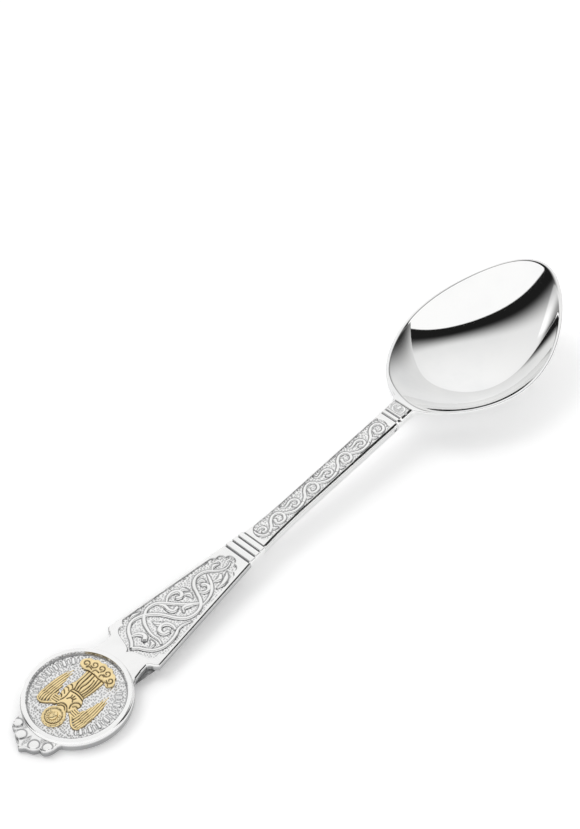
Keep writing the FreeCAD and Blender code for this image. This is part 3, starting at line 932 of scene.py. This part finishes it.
def halo_top(x, y):
    r = np.hypot(x - HEAD[0], y)
    a = np.arctan2(y, x - HEAD[0])
    ray = 0.06 * np.abs(np.cos(a * 8)) * smooth((r - 1.2) / 0.3)
    band = 0.1 * np.exp(-((r - 1.78) / 0.16) ** 2) - 0.06 * np.exp(-((r - 1.5) / 0.08) ** 2)
    # Painted shade in the groove inside the raised band.
    return med_plane(x) - 0.25 + 0.27 + ray + band, np.clip(0.6 * np.exp(-((r - 1.5) / 0.12) ** 2), 0, 1)


halo, hx, hy = disc_grid("angel_halo_disc", 64, HEAD, halo_edge)
hz, sunk_shade = halo_top(hx, hy)
write_points(halo, np.c_[hx, hy, hz])
wrap_down(halo, edge_rings(0.08, 0.02, lambda x, y: med_plane(x) + 0.03, lambda x, y: med_plane(x) - 0.25, 1))
# The halo's edge gets heavy painted shade, darker lower down.
store(halo, "sunk_shade", sunk_shade, 0.95, 0.12)
in_metres(halo)
place(halo, gold, "gilding", "angel_halo")

# ------------------------------------------------------------------ gilded figure: head
# A small head in high relief with a calm, plain face and a cap of curls.

deselect()
bpy.ops.mesh.primitive_uv_sphere_add(segments=56, ring_count=40, radius=1.0)
head = bpy.context.object
head.name = head.data.name = "angel_head_relief"
p = read_points(head)
# Face axes: f up towards the crown, g across, n out of the disc.
n, g, f = p[:, 2], p[:, 1], -p[:, 0]
jaw = 1 - 0.22 * smooth((-f - 0.1) / 0.9)
across = g * 0.74 * jaw
tall = f * 0.98


def spot(gc, fc, gw, fw):
    return np.exp(-((across - gc) / gw) ** 2 - ((tall - fc) / fw) ** 2)


front = smooth((n - 0.1) / 0.5)
relief = (0.13 * spot(0, -0.08, 0.11, 0.24) + 0.07 * spot(0, -0.22, 0.14, 0.09)
          + sum(0.05 * spot(s * 0.25, 0.19, 0.2, 0.06) - 0.07 * spot(s * 0.25, 0.05, 0.15, 0.09)
                + 0.045 * spot(s * 0.25, 0.05, 0.1, 0.045) + 0.05 * spot(s * 0.36, -0.2, 0.18, 0.16)
                for s in (1, -1))
          + 0.045 * spot(0, -0.42, 0.17, 0.045) + 0.04 * spot(0, -0.52, 0.14, 0.04)
          - 0.04 * spot(0, -0.47, 0.17, 0.018) + 0.06 * spot(0, -0.72, 0.16, 0.12)) * front
write_points(head, np.c_[HEAD[0] + 0.05 - tall, across,
                         med_plane(HEAD[0]) + 0.0 + n * 0.52 + relief * 0.8])
# Painted shade in the eye hollows and the line of the mouth.
store(head, "sunk_shade", np.clip(-relief * 8, 0, 0.8))
in_metres(head)
place(head, gold, "gilding", "angel_head", angle=80.0)


def hair_ground(x, y):
    return med_plane(x) + 0.1


hair = []
for k in range(13):
    a = math.radians(62 + k * 19.6)
    c, s = math.cos(a), math.sin(a)
    r0, r1 = 0.86, 1.22
    hair.append(swelling([(HEAD[0] + r0 * c, r0 * s * 0.95), (HEAD[0] + r1 * c - 0.1 * s, r1 * s + 0.1 * c),
                          (HEAD[0] + (r1 + 0.1) * c - 0.3 * s, (r1 + 0.1) * s + 0.3 * c),
                          (HEAD[0] + r0 * 1.08 * c - 0.32 * s, r0 * 1.08 * s + 0.32 * c)],
                         0.26, 0.7, 0.8))
# Painted shade on nearly every slope of the curls.
hair_piece = raised("angel_hair_curls", hair, hair_ground, 0.3, shade_from=0.08)
place(hair_piece, gold, "gilding", angle=60.0)

# ------------------------------------------------------------------ gilded figure: robe
# A long robe with a round collar, folded arms over the chest and pleats that fall to the hem.

robe_high = through([(9.8, 1.0), (10.6, 1.75), (11.6, 2.35), (13.0, 2.85), (14.4, 2.75), (15.6, 2.35), (17.0, 2.35),
                     (18.9, 2.45)], 6)
robe_low = through([(9.8, -0.75), (10.5, -1.45), (11.5, -1.95), (12.6, -2.1), (13.4, -1.7), (14.0, -1.4), (16.0, -1.65),
                    (18.9, -1.75)], 6)
robe_cuts = [
    [(9.8, 1.0), (10.35, 0.75), (10.6, 0.2), (10.4, -0.4), (9.85, -0.8)],
    [(10.2, 1.3), (10.8, 0.9), (11.0, 0.2), (10.8, -0.5), (10.2, -1.1)],
    [(10.8, 1.75), (11.6, 1.35), (12.4, 1.3), (13.4, 1.5), (14.2, 1.35)],
    [(12.5, 1.9), (12.9, 2.4), (13.0, 2.85)], [(13.3, 1.7), (13.7, 2.2), (13.7, 2.8)],
    [(14.1, 1.6), (14.5, 2.1), (14.5, 2.7)], [(11.6, 1.8), (12.0, 2.1), (12.1, 2.5)],
    [(10.9, -1.0), (11.6, -0.75), (12.3, -0.95), (12.7, -1.5), (12.6, -2.1)],
    [(11.5, -1.2), (11.9, -1.5), (11.9, -1.95)],
    [(12.0, 0.75), (12.5, 0.35), (12.5, -0.15), (12.1, -0.5)], [(12.5, 0.4), (13.1, 0.55)], [(12.5, 0.1), (13.2, 0.05)],
    [(12.4, -0.2), (13.0, -0.45)],
    [(13.55, 1.3), (13.7, 0.3), (13.65, -0.7), (13.45, -1.6)], [(14.05, 1.4), (14.2, 0.3), (14.1, -0.7), (14.0, -1.4)],
    [(14.2, 1.2), (15.6, 1.75), (17.2, 1.8), (18.6, 1.95)], [(14.3, 0.8), (15.6, 1.1), (17.2, 1.15), (18.7, 1.25)],
    [(14.3, 0.3), (15.3, 0.55), (16.6, 0.35), (18.7, 0.6)], [(14.3, -0.1), (15.2, -0.25), (16.4, -0.35), (17.6, -0.1)],
    [(14.3, -0.6), (15.4, -0.8), (17.0, -0.75), (18.6, -0.35)], [(14.2, -1.0), (15.8, -1.2), (17.6, -1.15), (18.7, -1.0)],
    [(18.35, 2.4), (18.45, 1.0), (18.35, -0.4), (18.4, -1.7)],
]


def robe_up(x):
    return np.interp(x, [q[0] for q in robe_high], [q[1] for q in robe_high])


def robe_down(x):
    return np.interp(x, [q[0] for q in robe_low], [q[1] for q in robe_low])


def cuts(x, y, lines, width):
    """How far each point lies in a graver's cuts along smooth lines, 0 to 1."""
    deep = np.zeros(np.shape(x))
    for line in lines:
        line = through(line, 5)
        best = np.full(np.shape(x), 9.0)
        for (ax, ay), (bx, by) in zip(line, line[1:]):
            dx, dy = bx - ax, by - ay
            t = np.clip(((x - ax) * dx + (y - ay) * dy) / max(dx * dx + dy * dy, 1e-12), 0.0, 1.0)
            best = np.minimum(best, np.hypot(x - ax - t * dx, y - ay - t * dy))
        deep = np.maximum(deep, np.exp(-(best / width) ** 2))
    return deep


def robe_top(x, y):
    mid, half = (robe_up(x) + robe_down(x)) / 2, (robe_up(x) - robe_down(x)) / 2
    v = (y - mid) / half
    crown = np.sqrt(np.maximum(0.0, 1 - np.minimum(1, np.abs(v) * 0.97) ** 4))
    chest = 0.16 * np.exp(-((x - 12.1) / 1.3) ** 2 - ((y - 0.1) / 1.2) ** 2)
    roll = 0.03 * np.cos(v * 12.0 + x) * smooth((x - 14.0) / 0.6)
    cut = cuts(x, y, robe_cuts, 0.105)
    # Painted shade in the graver's cuts and along the robe's edges.
    return (med_plane(x) - 0.2 + (0.3 + chest + roll) * crown - 0.13 * cut,
            np.maximum(0.97 * cut, 0.9 * smooth((np.abs(v) - 0.94) / 0.06)))


robe = strip("angel_robe_pleated", stations(9.85, 18.85, 0.06), 72, robe_down, robe_up, robe_top,
             [(0.03, lambda x, y: med_plane(x) - 0.2), (0.03, lambda x, y: med_plane(x) - 0.25),
              (-0.06, lambda x, y: med_plane(x) - 0.25)])
place(robe, gold, "gilding", "angel_robe", angle=60.0)

# ------------------------------------------------------------------ gilded figure: wings
# Each wing is a row of long feathers that overlap from the shoulder to the tip, with short
# feathers over their roots. The second wing mirrors the first.


def wing_ground(x, y):
    return med_plane(x) - 0.2


def feathers(side):
    made = []
    roots = ((9.25, 4.95), (9.0, 4.55), (8.95, 4.1), (9.15, 3.65), (9.5, 3.25), (9.95, 2.9))
    mids = ((12.8, 5.25), (12.8, 4.8), (12.6, 4.35), (12.3, 3.95), (11.9, 3.5), (11.5, 3.0))
    tips = ((16.6, 4.75), (17.5, 4.25), (16.8, 3.95), (15.4, 3.75), (13.9, 3.5), (12.6, 3.1))
    for (ax, ay), (bx, by_), (cx, cy) in zip(roots, mids, tips):
        made.append([(ax, ay * side, 0.3), ((ax + bx) / 2, ((ay + by_) / 2 + 0.18) * side, 0.62),
                     (bx, by_ * side, 0.62), ((bx + cx) / 2, ((by_ + cy) / 2 + 0.04) * side, 0.56),
                     (cx, cy * side, 0.08)])
    return made


def coverts(side):
    made = []
    for k, (x, y) in enumerate(((9.3, 5.0), (9.0, 4.6), (8.95, 4.15), (9.1, 3.7), (9.45, 3.25), (9.9, 2.85))):
        made.append([(x - 0.1, y * side, 0.2), (x + 0.5, (y + 0.16) * side, 0.55), (x + 1.3, (y + 0.28) * side, 0.5),
                     (x + 1.9, (y + 0.26) * side, 0.1)])
    for k, (x, y) in enumerate(((10.6, 5.15), (10.5, 4.75), (10.5, 4.3), (10.6, 3.9), (10.8, 3.45))):
        made.append([(x, y * side, 0.2), (x + 0.6, (y + 0.05) * side, 0.5), (x + 1.4, (y + 0.06) * side, 0.46),
                     (x + 2.1, (y - 0.02) * side, 0.1)])
    for k in range(4):
        made.append([(10.35 + 0.42 * k, 1.5 * side, 0.25), (10.2 + 0.42 * k, 2.2 * side, 0.5),
                     (10.15 + 0.42 * k, 3.0 * side, 0.42)])
    made.append([(10.3, 1.6 * side, 0.4), (9.9, 2.4 * side, 0.55), (9.2, 3.2 * side, 0.5), (8.75, 4.1 * side, 0.45),
                 (9.0, 4.95 * side, 0.35), (9.9, 5.35 * side, 0.12)])
    return made


for side, word, node in ((1, "left", "angel_wing_left"), (-1, "right", "angel_wing_right")):
    # Painted shade on nearly every slope of the feathers.
    wing = raised("angel_wing_" + word + "_feathers", feathers(side), wing_ground, 0.34, shade_from=0.06)
    place(wing, gold, "gilding", node, angle=60.0)
    cover = raised("angel_wing_" + word + "_coverts", coverts(side), lambda x, y: med_plane(x) - 0.02, 0.28, shade_from=0.06)
    place(cover, gold, "gilding", angle=60.0)

# ------------------------------------------------------------------ gilded cloud under the robe
# A bank of small rolling curls on which the figure stands.

cloud_edge = through([(18.5, 4.3), (19.3, 4.55), (19.9, 4.15), (20.4, 3.6), (20.5, 2.95), (21.0, 2.3), (20.9, 1.5),
                      (21.2, 0.8), (21.0, 0.0), (21.2, -0.8), (20.7, -1.5), (20.6, -2.2), (20.0, -2.7), (19.3, -3.3),
                      (18.5, -3.1), (18.1, -2.4), (18.7, -1.7), (18.5, -0.4), (18.6, 1.0), (18.5, 2.3), (18.2, 3.3)], 5,
                     closed=True)
cloud_edge = cloud_edge[::-1]
cloud_start = int(np.argmax([x for x, y in cloud_edge]))
cloud_edge = cloud_edge[cloud_start:] + cloud_edge[:cloud_start]
cloud_cuts = []
for x, y, r, turn in ((19.2, 3.5, 0.72, 230), (19.9, 2.1, 0.72, 150), (20.1, 0.6, 0.7, 210), (20.0, -0.9, 0.7, 150),
                      (19.3, -2.3, 0.66, 130)):
    cloud_cuts.append([(x + r * (1 - k * 0.085) * math.cos(math.radians(turn + k * 48)),
                        y + r * (1 - k * 0.085) * math.sin(math.radians(turn + k * 48))) for k in range(9)])


cloud_cuts += [[(18.6, 2.9), (19.0, 2.5), (18.9, 1.9)], [(18.7, 1.4), (19.2, 1.2), (19.2, 0.4)],
               [(18.7, -0.2), (19.2, -0.3), (19.2, -0.9)], [(18.5, -1.7), (18.6, -2.3), (18.3, -2.7)]]


def cloud_top(x, y):
    cut = cuts(x, y, cloud_cuts, 0.1)
    swell = 0.1 * np.max([np.exp(-((x - c[0][0] - 0.4) ** 2 + (y - c[0][1]) ** 2) / 0.3) for c in cloud_cuts], axis=0)
    # Painted shade in the cuts between the curls.
    return med_plane(x) - 0.2 + 0.36 + swell - 0.13 * cut, 0.9 * cut


cloud, cx, cy = disc_grid("cloud_bank_curls", 90, (19.7, 0.5), by_length(cloud_edge))
cz, sunk_shade = cloud_top(cx, cy)
write_points(cloud, np.c_[cx, cy, cz])
wrap_down(cloud, edge_rings(0.07, 0.02, lambda x, y: med_plane(x) + 0.14, lambda x, y: med_plane(x) - 0.25, 1))
# The cloud's edge gets heavy painted shade, darker lower down.
store(cloud, "sunk_shade", sunk_shade, 0.95, 0.12)
in_metres(cloud)
place(cloud, gold, "gilding", "cloud_bank", angle=60.0)

# ------------------------------------------------------------------ pointed end
# A small shell: four domed lobes fan from the disc, two beside the point and two behind, with a
# matted leaf sunk between the middle pair.

finial_half = ([(-0.0, 0.0)] + through([(0.15, 0.35), (0.75, 0.95), (0.98, 1.7), (1.4, 2.45), (2.15, 2.95)], 5)
               + through([(2.1, 3.3), (2.15, 3.9), (2.75, 4.5), (3.7, 4.85), (4.6, 4.95)], 5)
               + through([(4.75, 5.0), (5.3, 5.35), (6.0, 6.1)], 4) + [(7.5, 6.2), (7.5, 3.0), (7.5, 0.0)])
FINIAL_EDGE = 0.28
finial_outline = both_sides(finial_half)
LOBES = ((2.15, 1.6, 0.62), (3.35, 3.7, 0.52))
leaf = both_sides(through([(0.7, 0.0), (1.3, 0.32), (2.2, 0.45), (3.2, 0.0)], 5))


def finial_top(x, y):
    inside = inside_distance(x, y, finial_outline)
    border = 0.1 * np.exp(-((inside - 0.36) / 0.14) ** 2)
    dome, ditch = np.zeros(np.shape(x)), np.zeros(np.shape(x))
    for cx, cy, r in LOBES:
        for s in (1, -1):
            d = np.hypot(x - cx, y - cy * s)
            dome = np.maximum(dome, 0.16 * np.sqrt(np.maximum(0.0, 1 - (d / (r + 0.25)) ** 2)))
            ditch = np.maximum(ditch, np.exp(-((d - r - 0.38) / 0.12) ** 2) * (inside > 0.2))
    sunk_shade = smooth((inside_distance(x, y, leaf) + 0.1) / 0.2)
    wedge = smooth((0.75 - np.hypot((x - 3.7) / 1.1, np.abs(y) - 2.35)) / 0.3) * (dome < 0.02)
    hollow = np.maximum(sunk_shade, wedge)
    pits = stipple(x, y, 0.3)
    under = smooth((9.7 - np.hypot(x - MED[0], y)) / 0.3)
    # Painted shade in the matted leaf and wedges, darkest in the punch marks, and in the ditches round the lobes.
    z = (top_z(x) - 0.14 + dome + border - hollow * (0.16 - 0.08 * pits) - 0.05 * ditch) * (1 - under) \
        + (top_z(x) - 0.75) * under
    return z, np.maximum(hollow * (0.75 - 0.5 * pits), 0.9 * ditch)


finial, px, py = disc_grid("pointed_end_shell", 84, (4.2, 0.0), by_length(shrink(finial_outline, FINIAL_EDGE)))
pz, sunk_shade = finial_top(px, py)
write_points(finial, np.c_[px, py, pz])
wrap_down(finial, edge_rings(FINIAL_EDGE, 0.2, lambda x, y: top_z(x) - 0.1, lambda x, y: top_z(x) - 1.45, profile=FILED))
# The shell's sides get painted shade, darker lower down.
store(finial, "sunk_shade", sunk_shade, 0.8)
in_metres(finial)
place(finial, chased, "polished_silver", "finial")


def lobe_ground(x, y):
    return top_z(x) - 0.06


ring_lines = []
for s in (1, -1):
    for cx, cy, r, w, turn in ((2.15, 1.6, 0.62, 0.26, 200), (3.35, 3.7, 0.52, 0.24, 170)):
        ring_lines.append(swelling([(cx + r * math.cos(math.radians(turn + k * 42)),
                                     s * (cy + r * math.sin(math.radians(turn + k * 42)))) for k in range(9)],
                                   w, 0.7, 0.7))
rings_piece = raised("pointed_end_rings", ring_lines, lobe_ground, 0.2)
place(rings_piece, chased, "relief_silver", "finial_scrolls", angle=60.0)

# ------------------------------------------------------------------ table, light and camera
# A plain white table; one broad light from the upper left, a white wall and ceiling round a dark gap above, a
# pale patch low on the left and dark low elsewhere, as polished silver is usually shown.

deselect()
bpy.ops.mesh.primitive_plane_add(size=6.0, location=(0, 0, 0))
floor = bpy.context.object
floor.name = "table_top"
white = new_material("white_table")
shader = Shade.node("ShaderNodeBsdfPrincipled", {}, i0=(0.93, 0.93, 0.93, 1.0), Roughness=0.9)
shader.socket.node.inputs["Emission Color"].default_value = (1.0, 1.0, 1.0, 1.0)
shader.socket.node.inputs["Emission Strength"].default_value = 0.2
white.node_tree.links.new(shader.socket, white.node_tree.nodes.new("ShaderNodeOutputMaterial").inputs["Surface"])
floor.data.materials.append(white)

AZ, EL, ROLL, DIST = 45.66, 46.45, -1.73, 0.4089
az, el, roll = (math.radians(v) for v in (AZ, EL, ROLL))
right = Vector((math.cos(az), -math.sin(az), 0.0))
level = Vector((math.sin(az), math.cos(az), 0.0))

world = bpy.data.worlds.new("studio")
bpy.context.scene.world = world
world.use_nodes = True
world.node_tree.nodes.clear()
Shade.tree = world.node_tree
ray = Shade.node("ShaderNodeTexCoord", out=0)


def toward(v):
    return Shade.node("ShaderNodeVectorMath", {"operation": "DOT_PRODUCT"}, out=1, i0=ray, i1=tuple(v))


# The studio is told by height above a plane that leans back over the camera: a white wall behind the
# camera, a dark gap overhead, then a white ceiling that brightens away from the camera.
lean = Vector((0.0, 0.0, 1.0)) * 0.588 + level * 0.809 - right * 0.012
over_gap, up = toward(lean), toward((0, 0, 1))
wall = 1.0 - over_gap.step(0.105, 0.12)
ceiling = over_gap.step(0.24, 0.50) * (over_gap * 0.30 + 0.68)
window = (1.0 - toward(right).step(-0.84, -0.80)) * (1.0 - up.step(0.24, 0.27)) * 0.3
light = (wall * 1.03 + ceiling) * up.step(0.03, 0.2) + window + 0.012
bg = world.node_tree.nodes.new("ShaderNodeBackground")
bg.inputs["Color"].default_value = (1.0, 1.0, 1.0, 1.0)
world.node_tree.links.new(light.socket, bg.inputs["Strength"])
out = world.node_tree.nodes.new("ShaderNodeOutputWorld")
world.node_tree.links.new(bg.outputs[0], out.inputs["Surface"])

# The key light stands high on the left and only warms up the table and its shadows.
lamp = bpy.data.lights.new("key_light", "SUN")
lamp.energy = 0.6
lamp.angle = math.radians(32)
key = bpy.data.objects.new("key_light", lamp)
bpy.context.collection.objects.link(key)
key.rotation_mode = "QUATERNION"
key.rotation_quaternion = (-right * 0.45 + level * 0.3 + Vector((0, 0, 0.85))).to_track_quat("Z", "Y")
key.visible_glossy = False

camera = bpy.data.cameras.new("camera")
eye = bpy.data.objects.new("camera", camera)
bpy.context.collection.objects.link(eye)
aim = Vector((17.80, 19.67, 0.0)) * MM
forward = level * math.cos(el) - Vector((0, 0, 1)) * math.sin(el)
over = right.cross(forward)
side_axis = right * math.cos(roll) + over * math.sin(roll)
up_axis = over * math.cos(roll) - right * math.sin(roll)
eye.location = aim - forward * DIST
from mathutils import Matrix
eye.rotation_mode = "QUATERNION"
eye.rotation_quaternion = Matrix((side_axis, up_axis, -forward)).transposed().to_quaternion()
camera.sensor_fit = "VERTICAL"
camera.sensor_width = 36.0
camera.sensor_height = 36.0
camera.lens = 36.0 * 5.179 * 408.9 / 829.0
camera.clip_start = 0.01
bpy.context.scene.camera = eye
bpy.context.scene.view_settings.view_transform = "Standard"
